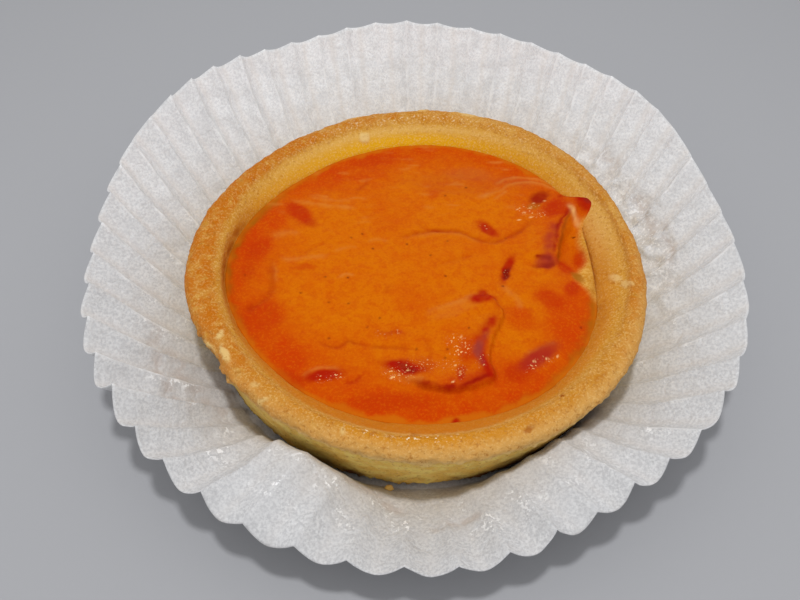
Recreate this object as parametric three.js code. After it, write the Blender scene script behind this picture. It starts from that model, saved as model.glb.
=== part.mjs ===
// A small round sweet potato pie in its opened paper baking case.
//
// Three bodies, in millimetres, +Z up:
//   crust       the baked shell: flared side wall, thick rounded rim, sloping inner wall, floor
//   filling     the baked sweet potato custard, with the folds and blisters of its skin
//   paper_case  the fluted white case, flat under the pie, opened wide round it, highest behind it
//
// The origin is on the pie's axis, at the underside of the case, where it rests. -Y is the side
// towards which the case has been pulled open, +Y the side where it stands up.

import * as THREE from 'three';
import { mergeVertices } from 'three/addons/utils/BufferGeometryUtils.js';

// ---- Driving dimensions, in millimetres ----

const PAPER_THICKNESS = 0.35;
const GAP = 0.3;                      // clearance between neighbouring bodies

const RIM_RADIUS = 45.1;              // outermost edge of the rim
const FOOT_RADIUS = 41.6;             // edge of the flat underside
const PIE_HEIGHT = 18;                // underside to the crest of the rim
const FLOOR_THICKNESS = 3.4;
const INNER_EDGE_RADIUS = 39.8;       // where the rounded rim turns down into the inner wall
const INNER_EDGE_BELOW_CREST = 1.5;
const FILLING_RADIUS = 36.7;          // where the skin meets the inner wall
const FILLING_BELOW_CREST = 4.15;
const CAVITY_FLOOR_RADIUS = 33.6;
const CAVITY_CORNER = { width: 0.9, height: 1.2 };    // from the floor up to the inner wall
const FOOT_CORNER = { width: 0.9, height: 0.9 };      // the worn edge of the underside
const FOOT_EVENNESS = 0.35;           // the foot's outline wavers by this share of the rim's
const LIP = { inset: 0.55, belowCrest: 3.2 };         // where the side wall meets the rim
const RIM_ROUNDING = { width: 2.5, height: 2, steps: 3 };
const CREST_FALL = 0.2;               // the crest's slight fall towards its inner side
const INNER_ROUNDING = { width: 0.6, fall: 0.75 };

const CASE_CENTRE = new THREE.Vector2(0, 8.5);
const CASE_FLOOR_RADIUS = 36;         // the case's own round bottom
const CASE_WALL = 35;                 // slant height of its fluted wall
const FLUTES = 52;
const FLUTE_HEIGHT = 2.1;             // from valley to ridge, at the edge
const FLUTE_START = -18.8;            // angle of one valley at the edge, in degrees

// ---- Derived levels ----

const PIE_UNDERSIDE = PAPER_THICKNESS + GAP;
const CREST = PIE_UNDERSIDE + PIE_HEIGHT;
const CAVITY_FLOOR = PIE_UNDERSIDE + FLOOR_THICKNESS;
const CORNER_TOP = CAVITY_FLOOR + CAVITY_CORNER.height;
const SKIN_EDGE = CREST - FILLING_BELOW_CREST;
const SKIN_DISH = 0.45;               // how far the middle of the skin lies below its edge
const DISH_POWER = 4;                 // a high power keeps the dish flat up to its edge
const MENISCUS = 0.35;                // how far the skin creeps up the crust
const STEEP_SKIRT = 2.4;              // height of the filling's side where the crust's wall shows
const SKIRT_STEP = 0.1;               // the least height of the filling's edge face

// ---- Unevenness: waves round the pie, each with its count, size in mm and phase in degrees ----

const RIM_OUTLINE = [
  { count: 1, size: 0.5, phase: 15 },
  { count: 2, size: 0.23, phase: -113 },
  { count: 3, size: 0.66, phase: -160 },
  { count: 5, size: 0.17, phase: -140 },
];
const RIM_CREST = [
  { count: 2, size: 0.22, phase: 75 },
  { count: 3, size: 0.18, phase: 200 },
  { count: 7, size: 0.1, phase: 30 },
];
const INNER_EDGE = [
  { count: 1, size: 1.4, phase: 0 },
  { count: 3, size: 0.3, phase: 60 },
];
const FILLING_OUTLINE = [
  { count: 1, size: 0.4, phase: -45 },
  { count: 2, size: 0.45, phase: 60 },
  { count: 3, size: 0.95, phase: -175 },
  { count: 5, size: 0.3, phase: 165 },
];
const CHIP = { angle: -148, halfWidth: 6, depth: 1.1, crestShare: 0.4 };

// How steeply the fluted wall stands round the case, in degrees from flat.
const CASE_LEAN = 35.5;
const CASE_LEAN_WAVES = [
  { count: 1, size: 15.6, phase: 90 },
  { count: 2, size: 1.9, phase: 34 },
  { count: 3, size: 1.9, phase: -147 },
];
// The cut edge of the case isn't quite round, and its flutes differ a little in height.
const CASE_WALL_WAVES = [
  { count: 1, size: 0.85, phase: -166 },
  { count: 2, size: 0.26, phase: -100 },
  { count: 4, size: 0.49, phase: -154 },
  { count: 6, size: 0.68, phase: -178 },
  { count: 10, size: 0.22, phase: -76 },
];
const FLUTE_HEIGHT_WAVES = [
  { count: 1, size: 0.37, phase: -166 },
  { count: 5, size: 0.28, phase: 14 },
];
// How far the flutes drift from even spacing, in degrees.
const FLUTE_DRIFT = [
  { count: 1, size: 1.86, phase: 105 },
  { count: 2, size: 0.77, phase: -121 },
  { count: 3, size: 0.68, phase: 8 },
  { count: 4, size: 0.94, phase: 41 },
];
const WALL_RISE_POWER = 1.15;         // above 1, the wall curls up as it leaves the table
// On both sides of the front the wall first stands up against the pie, then lies out flat.
const SHOULDERS = [
  { angle: -112, halfWidth: 12, height: 12 },
  { angle: -64, halfWidth: 15, height: 9.8 },
];
const SHOULDER_SHARE = 0.17;          // how far out along the wall a shoulder is highest
const SHOULDER_FALL = 0.8;            // below 1, it keeps its height for longer on its way out
const LEAST_UPWARD = 0.6;             // keeps the paper from getting thinner where it stands up

// ---- Folds and blisters of the skin ----
// A fold is a sheet of skin that ends at a raised edge, its path. The skin to the right of the path
// rises to it over the width "sheet"; to the left it drops off again over the width "drop".

const FOLDS = [
  {
    path: [[36.8, 18.2], [32.2, 13.8], [27.9, 7.3], [25.9, 2.8], [25.0, -1.0]],
    height: 1.5, sheet: 5.5, drop: 1.2,
  },
  {
    path: [[12.9, -7.8], [15.6, -12.2], [13.2, -18.6], [12.8, -24.4], [12.6, -28.2], [7, -29.8],
      [1.5, -29.2], [-4, -26]],
    height: 1.3, sheet: 4.5, drop: 1.2,
  },
];
const BLISTERS = [
  { at: [26.8, 17.8], length: 3.4, width: 1.8, turn: -45, height: -0.35 },
  { at: [15.2, 10.1], length: 3.2, width: 1.4, turn: -45, height: 0.4 },
  { at: [18.8, -0.4], length: 4.6, width: 1.3, turn: 70, height: 0.6 },
  { at: [22.0, -22.4], length: 4.4, width: 2.0, turn: 33, height: 0.7 },
  { at: [-16.5, -27.4], length: 3.6, width: 1.5, turn: 22, height: 0.6 },
  { at: [-24.4, 14.2], length: 5.0, width: 2.2, turn: -43, height: 0.35 },
  { at: [3.5, 5.5], length: 9.0, width: 4.0, turn: 5, height: 0.3 },
  { at: [-8.0, -20.0], length: 8.0, width: 2.0, turn: -4, height: 0.3 },
];
const HOLLOW = { at: [32.5, 3.5], length: 7.5, width: 4.2, turn: 88, height: -1.7 };
const FLAP_TIP = { angle: 23, halfWidth: 10, climb: 2 };      // the skin's tip on the inner wall
const RECEDED = { angle: 3, halfWidth: 13, climb: -1.3 };     // where it has shrunk away

// ---- Fineness of the faces ----

const PIE_SECTIONS = 90;
const SECTIONS_PER_FLUTE = 4;
const SKIN_RINGS = [0.985, 0.95, 0.91, 0.87, 0.83, 0.78, 0.73, 0.67, 0.6, 0.52, 0.43, 0.33, 0.22, 0.11];
const CASE_WALL_STEPS = [0.5 * SHOULDER_SHARE, SHOULDER_SHARE, 0.34, 0.56, 0.8, 1];
const WELD = 1e-3;
const NUDGE = 1e-4;                   // a step in angle or height that gives a surface's direction

// ---- Small helpers ----

const radians = THREE.MathUtils.degToRad;
const lerp = THREE.MathUtils.lerp;

function waves(list, angle) {
  return list.reduce(
    (sum, wave) => sum + wave.size * Math.cos(wave.count * angle - radians(wave.phase)), 0);
}

function bell(distance, halfWidth) {
  return Math.exp(-((distance / halfWidth) ** 2));
}

function angleBell(angle, spot) {
  const turn = angle - radians(spot.angle);
  const wrapped = Math.atan2(Math.sin(turn), Math.cos(turn));
  return bell(wrapped, radians(spot.halfWidth));
}

// The shortest distance from a point to a path: positive to the left of it, negative to the right.
function signedDistance(x, y, path) {
  let nearest = Infinity;
  let side = 1;
  for (let i = 0; i < path.length - 1; i += 1) {
    const [ax, ay] = path[i];
    const dx = path[i + 1][0] - ax;
    const dy = path[i + 1][1] - ay;
    const along = ((x - ax) * dx + (y - ay) * dy) / (dx * dx + dy * dy);
    const t = THREE.MathUtils.clamp(along, 0, 1);
    const distance = Math.hypot(x - ax - t * dx, y - ay - t * dy);
    if (distance < nearest) {
      nearest = distance;
      side = Math.sign(dx * (y - ay) - dy * (x - ax)) || 1;
    }
  }
  return nearest * side;
}

// Turns a cross-section round a vertical axis, then gives each copy of it its own shape.
// sectionAt(angle) lists [radius, height] from the axis, underneath, outwards, and back to the axis.
function turned(sectionAt, segments, centre = new THREE.Vector2(0, 0)) {
  const outline = sectionAt(0).map(([radius, height]) => new THREE.Vector2(radius, height));
  const geometry = new THREE.LatheGeometry(outline, segments);
  const position = geometry.getAttribute('position');
  for (let i = 0; i <= segments; i += 1) {
    const angle = (i % segments) * 2 * Math.PI / segments;
    sectionAt(angle).forEach(([radius, height], j) => {
      position.setXYZ(i * outline.length + j,
        centre.x + radius * Math.cos(angle), centre.y + radius * Math.sin(angle), height);
    });
  }
  return closedBody(geometry);
}

// Welds the seam and the axis, drops the faces that have no area there, and turns all faces out.
function closedBody(geometry) {
  geometry.deleteAttribute('normal');
  geometry.deleteAttribute('uv');
  const welded = mergeVertices(geometry, WELD);
  const index = welded.getIndex().array;
  const faces = [];
  for (let i = 0; i < index.length; i += 3) {
    const [a, b, c] = [index[i], index[i + 1], index[i + 2]];
    if (a !== b && b !== c && c !== a) {
      faces.push([a, b, c]);
    }
  }
  const outwards = volume(welded, faces) > 0;
  welded.setIndex(faces.flatMap(([a, b, c]) => (outwards ? [a, b, c] : [a, c, b])));
  welded.computeVertexNormals();
  return welded;
}

function volume(geometry, faces) {
  const position = geometry.getAttribute('position');
  const corner = (i) => new THREE.Vector3().fromBufferAttribute(position, i);
  return faces.reduce(
    (sum, [a, b, c]) => sum + corner(a).dot(corner(b).cross(corner(c))) / 6, 0);
}

// ---- The pie's round outlines, each a radius or a height at an angle ----

function rimRadius(angle) {
  return RIM_RADIUS + waves(RIM_OUTLINE, angle) - CHIP.depth * angleBell(angle, CHIP);
}

function crestHeight(angle) {
  const chip = CHIP.crestShare * CHIP.depth * angleBell(angle, CHIP);
  return CREST + waves(RIM_CREST, angle) - chip;
}

function footRadius(angle) {
  return FOOT_RADIUS + FOOT_EVENNESS * waves(RIM_OUTLINE, angle);
}

function innerEdgeRadius(angle) {
  return INNER_EDGE_RADIUS + waves(INNER_EDGE, angle);
}

function innerEdgeHeight(angle) {
  return crestHeight(angle) - INNER_EDGE_BELOW_CREST;
}

function fillingRadius(angle) {
  return FILLING_RADIUS + waves(FILLING_OUTLINE, angle);
}

// The inner wall slopes from the rim's inner edge to the skin's edge, and on down to the floor.
function innerWallRadius(angle, height) {
  const skin = fillingRadius(angle);
  if (height >= SKIN_EDGE) {
    const share = (height - SKIN_EDGE) / (innerEdgeHeight(angle) - SKIN_EDGE);
    return lerp(skin, innerEdgeRadius(angle), share);
  }
  const cornerRadius = CAVITY_FLOOR_RADIUS + CAVITY_CORNER.width;
  return lerp(skin, cornerRadius, (SKIN_EDGE - height) / (SKIN_EDGE - CORNER_TOP));
}

function innerWallHeight(angle, radius) {
  const skin = fillingRadius(angle);
  const share = (radius - skin) / (innerEdgeRadius(angle) - skin);
  return lerp(SKIN_EDGE, innerEdgeHeight(angle), share);
}

// ---- Crust ----

// The flared side wall, from the foot's worn edge up to the lip of the rim.
function sideWall(angle) {
  const lip = [rimRadius(angle) - LIP.inset, crestHeight(angle) - LIP.belowCrest];
  return [0, 1 / 3, 2 / 3, 1].map((share) => [
    lerp(footRadius(angle), lip[0], share),
    lerp(PIE_UNDERSIDE + FOOT_CORNER.height, lip[1], share),
  ]);
}

// The outer rounding of the rim: a quarter of an ellipse, from its outermost edge up to the crest.
function rimRounding(angle) {
  const { width, height, steps } = RIM_ROUNDING;
  return Array.from({ length: steps + 1 }, (_, i) => {
    const turn = (i / steps) * Math.PI / 2;
    return [
      rimRadius(angle) - width * (1 - Math.cos(turn)),
      crestHeight(angle) - height * (1 - Math.sin(turn)),
    ];
  });
}

function crustSection(angle) {
  const crest = crestHeight(angle);
  const crestRadius = rimRadius(angle) - RIM_ROUNDING.width;
  const inner = innerEdgeRadius(angle);
  const innerTop = innerEdgeHeight(angle);
  const innerWall = (height) => [innerWallRadius(angle, height), height];
  return [
    [0, PIE_UNDERSIDE],
    [footRadius(angle) - FOOT_CORNER.width, PIE_UNDERSIDE],
    ...sideWall(angle),
    ...rimRounding(angle),
    [(inner + crestRadius) / 2, crest - CREST_FALL],
    [inner + INNER_ROUNDING.width, crest - INNER_ROUNDING.fall],
    innerWall(innerTop),
    innerWall((innerTop + SKIN_EDGE) / 2),
    innerWall(SKIN_EDGE),
    innerWall(SKIN_EDGE - STEEP_SKIRT),
    innerWall(CORNER_TOP),
    [CAVITY_FLOOR_RADIUS, CAVITY_FLOOR],
    [0, CAVITY_FLOOR],
  ];
}

function crust() {
  const material = new THREE.MeshStandardMaterial({ color: 0xd09a4e, roughness: 0.75 });
  const mesh = new THREE.Mesh(turned(crustSection, PIE_SECTIONS), material);
  mesh.name = 'crust';
  return mesh;
}

// ---- Filling ----

function blisterHeight(x, y, blister) {
  const turn = radians(blister.turn);
  const dx = x - blister.at[0];
  const dy = y - blister.at[1];
  const along = dx * Math.cos(turn) + dy * Math.sin(turn);
  const across = dy * Math.cos(turn) - dx * Math.sin(turn);
  return blister.height * bell(along, blister.length) * bell(across, blister.width);
}

function foldHeight(x, y, fold) {
  const distance = signedDistance(x, y, fold.path);
  return fold.height * bell(distance, distance < 0 ? fold.sheet : fold.drop);
}

function skinHeight(x, y) {
  const share = Math.hypot(x, y) / FILLING_RADIUS;
  const dish = SKIN_EDGE - SKIN_DISH * (1 - share ** DISH_POWER);
  const folds = FOLDS.reduce((sum, fold) => sum + foldHeight(x, y, fold), 0);
  const blisters = BLISTERS.reduce((sum, blister) => sum + blisterHeight(x, y, blister), 0);
  return dish + folds + blisters + blisterHeight(x, y, HOLLOW);
}

function skinEdgeHeight(angle) {
  const climb = FLAP_TIP.climb * angleBell(angle, FLAP_TIP);
  const recess = RECEDED.climb * angleBell(angle, RECEDED);
  return SKIN_EDGE + MENISCUS + climb + recess;
}

function fillingSection(angle) {
  const edgeHeight = skinEdgeHeight(angle);
  const low = SKIN_EDGE - STEEP_SKIRT;
  const kink = Math.min(SKIN_EDGE, edgeHeight - SKIRT_STEP);
  const side = (height) => innerWallRadius(angle, height) - GAP;
  const edgeRadius = side(edgeHeight);
  const skin = SKIN_RINGS.map((share) => {
    const radius = share * edgeRadius;
    const height = skinHeight(radius * Math.cos(angle), radius * Math.sin(angle));
    return [radius, Math.max(height, innerWallHeight(angle, radius) + GAP)];
  });
  return [
    [0, CAVITY_FLOOR + GAP],
    [CAVITY_FLOOR_RADIUS - GAP, CAVITY_FLOOR + GAP],
    [side(CORNER_TOP), CORNER_TOP + GAP],
    [side(low), low],
    [side(kink), kink],
    [edgeRadius, edgeHeight],
    ...skin,
    [0, skinHeight(0, 0)],
  ];
}

function filling() {
  const material = new THREE.MeshStandardMaterial({ color: 0xd8700c, roughness: 0.35 });
  const mesh = new THREE.Mesh(turned(fillingSection, PIE_SECTIONS), material);
  mesh.name = 'filling';
  return mesh;
}

// ---- Paper case ----

// How far out from the case's centre the pie's foot reaches: the wall can't rise before that.
function footReach(angle) {
  const along = CASE_CENTRE.x * Math.cos(angle) + CASE_CENTRE.y * Math.sin(angle);
  const clear = (FOOT_RADIUS + GAP) ** 2 - CASE_CENTRE.lengthSq() + along ** 2;
  return Math.sqrt(clear) - along;
}

function shoulderHeight(angle, share) {
  const height = SHOULDERS.reduce((sum, spot) => sum + spot.height * angleBell(angle, spot), 0);
  const stillOutwards = Math.max(1 - share, 0) / (1 - SHOULDER_SHARE);
  return height * Math.min(share / SHOULDER_SHARE, stillOutwards ** SHOULDER_FALL);
}

// A point halfway through the paper: step 0 is the centre, 1 the fold, and 2 the outer edge.
function paperPoint(angle, step) {
  const fold = Math.max(CASE_FLOOR_RADIUS, footReach(angle));
  if (step <= 1) {
    return [step * fold, PAPER_THICKNESS / 2];
  }
  const lean = radians(CASE_LEAN + waves(CASE_LEAN_WAVES, angle));
  const wall = CASE_WALL + waves(CASE_WALL_WAVES, angle);
  const run = CASE_FLOOR_RADIUS + wall * Math.cos(lean) - fold;
  const rise = wall * Math.sin(lean);
  const slope = Math.atan2(rise, run);
  const share = step - 1;
  const drift = radians(FLUTE_START + waves(FLUTE_DRIFT, angle));
  const ridge = (1 - Math.cos(FLUTES * (angle - drift))) / 2;
  const flute = (FLUTE_HEIGHT + waves(FLUTE_HEIGHT_WAVES, angle)) * share * ridge;
  const height = rise * share ** WALL_RISE_POWER + shoulderHeight(angle, share);
  return [
    fold + run * share - flute * Math.sin(slope),
    PAPER_THICKNESS / 2 + height + flute * Math.cos(slope),
  ];
}

function paperPlace(angle, step) {
  const [radius, height] = paperPoint(angle, step);
  return new THREE.Vector3(radius * Math.cos(angle), radius * Math.sin(angle), height);
}

// The direction square to the sheet, seen in the section: [outwards, up].
function paperFacing(angle, step) {
  if (step <= 1) {
    return [0, 1];
  }
  const alongWall = paperPlace(angle, step + NUDGE).sub(paperPlace(angle, step - NUDGE));
  const roundCase = paperPlace(angle + NUDGE, step).sub(paperPlace(angle - NUDGE, step));
  const facing = alongWall.cross(roundCase).normalize();
  const outwards = facing.x * Math.cos(angle) + facing.y * Math.sin(angle);
  return [outwards, Math.max(facing.z, LEAST_UPWARD)];
}

function paperSection(angle) {
  const steps = [0, 1, ...CASE_WALL_STEPS.map((share) => 1 + share)];
  const side = (step, sign) => {
    const [radius, height] = paperPoint(angle, step);
    const [outwards, up] = paperFacing(angle, step);
    const half = sign * PAPER_THICKNESS / 2;
    return [radius + half * outwards, height + half * up];
  };
  const underneath = steps.map((step) => side(step, -1));
  const inside = steps.map((step) => side(step, 1)).reverse();
  return [...underneath, ...inside];
}

function paperCase() {
  const material = new THREE.MeshStandardMaterial({ color: 0xe4e3e0, roughness: 0.85 });
  const geometry = turned(paperSection, FLUTES * SECTIONS_PER_FLUTE, CASE_CENTRE);
  const mesh = new THREE.Mesh(geometry, material);
  mesh.name = 'paper_case';
  return mesh;
}

// ---- The whole ----

const group = new THREE.Group();
group.add(crust(), filling(), paperCase());

export default group;
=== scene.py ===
"""A small round sweet potato pie in its opened, fluted paper case, dressed over its solid model.

Lengths are in millimetres, and the meshes are made in metres. Constant angles are in degrees, and
the arrays called angle are in radians. The pie's axis is the Z axis, -Y is the near side, and the
case stands up on the +Y side.
"""

import math

import bpy
import numpy as np
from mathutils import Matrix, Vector, noise


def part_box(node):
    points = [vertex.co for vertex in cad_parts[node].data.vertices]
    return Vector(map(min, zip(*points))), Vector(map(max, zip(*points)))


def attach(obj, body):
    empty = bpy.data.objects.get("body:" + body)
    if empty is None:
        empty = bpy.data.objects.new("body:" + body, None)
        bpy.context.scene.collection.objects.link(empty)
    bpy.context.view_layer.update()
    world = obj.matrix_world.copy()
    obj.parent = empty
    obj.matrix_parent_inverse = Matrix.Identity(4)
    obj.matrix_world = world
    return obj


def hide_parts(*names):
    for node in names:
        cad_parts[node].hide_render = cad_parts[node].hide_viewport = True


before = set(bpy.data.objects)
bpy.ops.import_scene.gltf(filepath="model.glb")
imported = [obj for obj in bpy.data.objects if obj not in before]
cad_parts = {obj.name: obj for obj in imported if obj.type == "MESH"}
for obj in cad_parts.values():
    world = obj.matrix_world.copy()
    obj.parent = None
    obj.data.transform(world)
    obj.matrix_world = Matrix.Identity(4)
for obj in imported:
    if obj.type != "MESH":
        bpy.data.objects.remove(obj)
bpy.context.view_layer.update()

# ---- Sizes, from the crust's solid and from the pie's driving dimensions ----

MM = 0.001
CRUST_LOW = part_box("crust")[0]

PAPER_SOLID = 0.35  # thickness of the case's solid, whose middle the sheet follows
PAPER_THICKNESS = 0.14
UNDERSIDE = CRUST_LOW.z / MM
PIE_HEIGHT = 18.0
CREST = UNDERSIDE + PIE_HEIGHT
RIM_RADIUS = 45.1
FOOT_RADIUS = 41.6
FOOT_SHARE = 0.35  # how much of the rim's unevenness the foot has
INNER_EDGE_RADIUS = 39.8
INNER_EDGE_BELOW_CREST = 1.5
FILLING_RADIUS = 36.7
SKIN_EDGE = CREST - 4.15
SKIN_DISH = 0.45
CAVITY_FLOOR = UNDERSIDE + 3.4
CAVITY_FLOOR_RADIUS = 33.6
CORNER_TOP = CAVITY_FLOOR + 1.2
CORNER_RADIUS = CAVITY_FLOOR_RADIUS + 0.9
SKIRT_DEPTH = 2.4  # how far below the skin's edge the filling closes up to the wall
SKIN_RINGS = 126
MENISCUS = 0.2  # how far the skin climbs the wall all round
SKIN_COVER = 0.2  # how far the skin lies over the wall where it climbs it
SKIN_BURIED = 0.3  # how far its very edge dips into the wall
GAP = 0.3  # between two pieces where they are hidden
FOOT_CORNER = 0.9  # the worn edge of the underside
LIP_INSET = 0.55  # where the side wall meets the rim
LIP_BELOW_CREST = 3.2
RIM_ROUNDING = (2.5, 2.0)  # width and height
CREST_FALL = 0.2  # the crest's slight fall towards its inner side
INNER_ROUNDING = (0.6, 0.75)  # width and fall
HOLLOW = ((32.8, 3.4), 7.5, 3.6, 86)  # the sunken place behind the upper flap
HOLLOW_DEPTH = 1.7

# Unevenness round the pie: (count, size, phase)
RIM_OUTLINE = [(1, 0.5, 15), (2, 0.23, -113), (3, 0.66, -160), (5, 0.17, -140)]
RIM_CREST = [(2, 0.22, 75), (3, 0.18, 200), (7, 0.1, 30)]
INNER_EDGE = [(1, 1.4, 0), (3, 0.3, 60)]
FILLING_OUTLINE = [(1, 0.4, -45), (2, 0.45, 60), (3, 0.95, -175), (5, 0.3, 165)]

CASE_CENTRE = (0.0, 8.5)
CASE_FLOOR_RADIUS = 36.0
CASE_WALL = 35.0
CASE_LEAN = 35.5
CASE_LEAN_WAVES = [(1, 15.6, 90), (2, 1.9, 34), (3, 1.9, -147)]
CASE_WALL_WAVES = [(1, 0.85, -166), (2, 0.26, -100), (4, 0.49, -154), (6, 0.68, -178), (10, 0.22, -76)]
FLUTES = 52
FLUTE_HEIGHT = 2.1
FLUTE_START = -18.8
FLUTE_HEIGHT_WAVES = [(1, 0.37, -166), (5, 0.28, 14)]
FLUTE_DRIFT = [(1, 1.86, 105), (2, 0.77, -121), (3, 0.68, 8), (4, 0.94, 41)]
WALL_RISE_POWER = 1.15
# Where the wall stands up against the pie before it lies out flat: angle, half width and height
SHOULDERS = [(-112, 12, 12.0), (-64, 15, 9.8)]
SHOULDER_SHARE = 0.17
SHOULDER_FALL = 0.8

FLUTE_SECTIONS = 16  # an even number, so that each ridge and valley gets a point
CASE_FRONT = (-90, 50)  # angle and half width of the side that is opened flat
FLUTE_STEEPER = 1.5  # how much higher the flutes are behind and at the sides
FLUTE_SHARPNESS = 1.7
FLUTE_GROWTH = (0.45, 1.0)  # the power of their growth from the foot, behind and in front
FLUTE_JITTER = 0.14  # how much their heights differ
FLUTE_SLANT = 10  # how far they turn towards the front on their way to the foot
EDGE_TEETH = 0.15  # how far the paper's edge runs out over each ridge

PIE_SECTIONS = 720
CASE_SECTIONS = FLUTES * FLUTE_SECTIONS
CASE_ROWS = 54
CASE_FLOOR_ROWS = 5

# ---- Numbers and noise ----


def waves(items, angle):
    return sum(size * np.cos(count * angle - math.radians(phase)) for count, size, phase in items)


def bell(distance, half_width):
    return np.exp(-((distance / half_width) ** 2))


def angle_bell(angle, centre, half_width):
    turn = angle - math.radians(centre)
    wrapped = np.arctan2(np.sin(turn), np.cos(turn))
    return bell(wrapped, math.radians(half_width))


def full_turn(count):
    return np.linspace(0, 2 * math.pi, count, endpoint=False)


def smooth_step(low, high, value):
    share = np.clip((value - low) / (high - low), 0, 1)
    return share * share * (3 - 2 * share)


def between(a, b, share):
    return a + (b - a) * share


def fractal(points, size, seed, octaves=3):
    """Fractal noise of about -1 to 1 at each point. size is the width of its largest bumps."""
    shift = np.array((31.7, 12.9, 7.3)) * (seed + 1)
    flat = (points.reshape(-1, 3) / size + shift).tolist()
    values = [noise.fractal(point, 1.0, 2.0, octaves) for point in flat]
    return np.array(values).reshape(points.shape[:-1])


def flat_points(x, y, z=0.0):
    return np.stack([x, y, np.broadcast_to(z, x.shape)], axis=-1)


def curved(path, steps=6):
    """A path's points with a smooth curve through them."""
    p = np.array([path[0], *path, path[-1]], float)
    t = np.linspace(0, 1, steps, endpoint=False)[:, None]
    pieces = []
    for a, b, c, d in zip(p, p[1:], p[2:], p[3:]):
        pieces.append(0.5 * (2 * b + (c - a) * t + (2 * a - 5 * b + 4 * c - d) * t ** 2
                             + (3 * b - a - 3 * c + d) * t ** 3))
    return np.vstack([*pieces, p[-1:]])


def path_distance(x, y, path):
    """The distance to a path, positive on its left, and the share of the path passed there."""
    points = curved(path)
    nearest = np.full(x.shape, np.inf)
    side = np.ones(x.shape)
    passed = np.zeros(x.shape)
    for i, ((ax, ay), (bx, by)) in enumerate(zip(points, points[1:])):
        dx = bx - ax
        dy = by - ay
        t = np.clip(((x - ax) * dx + (y - ay) * dy) / (dx * dx + dy * dy), 0, 1)
        distance = np.hypot(x - ax - t * dx, y - ay - t * dy)
        closer = distance < nearest
        nearest = np.where(closer, distance, nearest)
        left = dx * (y - ay) - dy * (x - ax)
        side = np.where(closer, np.where(left < 0, -1.0, 1.0), side)
        passed = np.where(closer, (i + t) / (len(points) - 1), passed)
    return nearest * side, passed


def oval(x, y, at, length, width, turn):
    """A soft oval spot, 1 in its middle."""
    c = math.cos(math.radians(turn))
    s = math.sin(math.radians(turn))
    dx = x - at[0]
    dy = y - at[1]
    return bell(dx * c + dy * s, length) * bell(dy * c - dx * s, width)


def lay(masks, share, amounts, strength=1.0):
    """Adds what lies there to the masks, and returns how far it stands out."""
    for name, amount in amounts.items():
        if name != "lift":
            there = np.clip(amount * share * strength, 0, 1)
            masks[name] = 1 - (1 - masks[name]) * (1 - there)
    return amounts.get("lift", 0) * share


# ---- Meshes ----


def add_object(name, data):
    thing = bpy.data.objects.new(name, data)
    bpy.context.scene.collection.objects.link(thing)
    return thing


def turned_mesh(name, points, masks):
    """A closed body from rings of points, (rings, sections, 3). The first and last ring are poles."""
    rings, sections = points.shape[:2]
    inner = points[1:-1].reshape(-1, 3)
    vertices = np.vstack([points[0].mean(0), inner, points[-1].mean(0)]) * MM
    start = 1 + np.arange(rings - 2)[:, None] * sections
    here = start + np.arange(sections)
    after = start + (np.arange(sections) + 1) % sections
    quads = np.stack([here[:-1], after[:-1], after[1:], here[1:]], axis=-1).reshape(-1, 4)
    last = len(vertices) - 1
    faces = quads.tolist()
    faces += [(0, b, a) for a, b in zip(here[0].tolist(), after[0].tolist())]
    faces += [(last, a, b) for a, b in zip(here[-1].tolist(), after[-1].tolist())]
    mesh = bpy.data.meshes.new(name)
    mesh.from_pydata(vertices.tolist(), [], faces)
    mesh.shade_smooth()
    for mask, values in masks.items():
        flat = np.concatenate([[values[0].mean()], values[1:-1].ravel(), [values[-1].mean()]])
        layer = mesh.attributes.new(mask, "FLOAT", "POINT")
        layer.data.foreach_set("value", np.clip(flat, 0, 1).astype(np.float32))
    return add_object(name, mesh)


def facings(points):
    """The outward direction at each point of a turned body's rings."""
    round_it = np.roll(points, -1, axis=1) - np.roll(points, 1, axis=1)
    along_it = np.gradient(points, axis=0)
    facing = np.cross(round_it, along_it)
    size = np.linalg.norm(facing, axis=-1, keepdims=True)
    return facing / np.maximum(size, 1e-9)


def smoothed(rows, times):
    """Evens out the rows in between the first and the last."""
    for _ in range(times):
        rows[1:-1] += 0.25 * (rows[:-2] - 2 * rows[1:-1] + rows[2:])
    return rows


def resampled(corners, angle, smoothing):
    """A dense section at every angle. Each corner is (radius, height, mark, steps since the last)."""
    rows = []
    before = None
    for radius, height, mark, steps in corners:
        here = np.stack([np.broadcast_to(v, angle.shape) for v in (radius, height, mark)])
        if before is None:
            rows.append(here)
        else:
            rows += [between(before, here, i / steps) for i in range(1, steps + 1)]
        before = here
    section = smoothed(np.array(rows, float), smoothing)
    return section[:, 0], section[:, 1], section[:, 2]


def placed(radius, angle, height, centre=(0.0, 0.0)):
    x = centre[0] + radius * np.cos(angle)
    y = centre[1] + radius * np.sin(angle)
    return np.stack([x, y, height], axis=-1)


# ---- The pie's outlines ----

CHIP = (-148, 6)  # angle and half width of a broken place in the rim
CHIP_DEPTH = 1.1
CHIP_DROP = 0.44  # how much lower the crest is there
FLAP_TIP = (23.2, 5.0, 2.5)  # angle, half width and climb of the skin's tip on the wall
RECEDED = (3, 13, -1.3)  # where the skin has shrunk away from the wall


def rim_radius(angle):
    return RIM_RADIUS + waves(RIM_OUTLINE, angle) - CHIP_DEPTH * angle_bell(angle, *CHIP)


def crest_height(angle):
    return CREST + waves(RIM_CREST, angle) - CHIP_DROP * angle_bell(angle, *CHIP)


def foot_radius(angle):
    return FOOT_RADIUS + FOOT_SHARE * waves(RIM_OUTLINE, angle)


def inner_edge_radius(angle):
    return INNER_EDGE_RADIUS + waves(INNER_EDGE, angle)


def inner_edge_height(angle):
    return crest_height(angle) - INNER_EDGE_BELOW_CREST


def filling_radius(angle):
    return FILLING_RADIUS + waves(FILLING_OUTLINE, angle)


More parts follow.
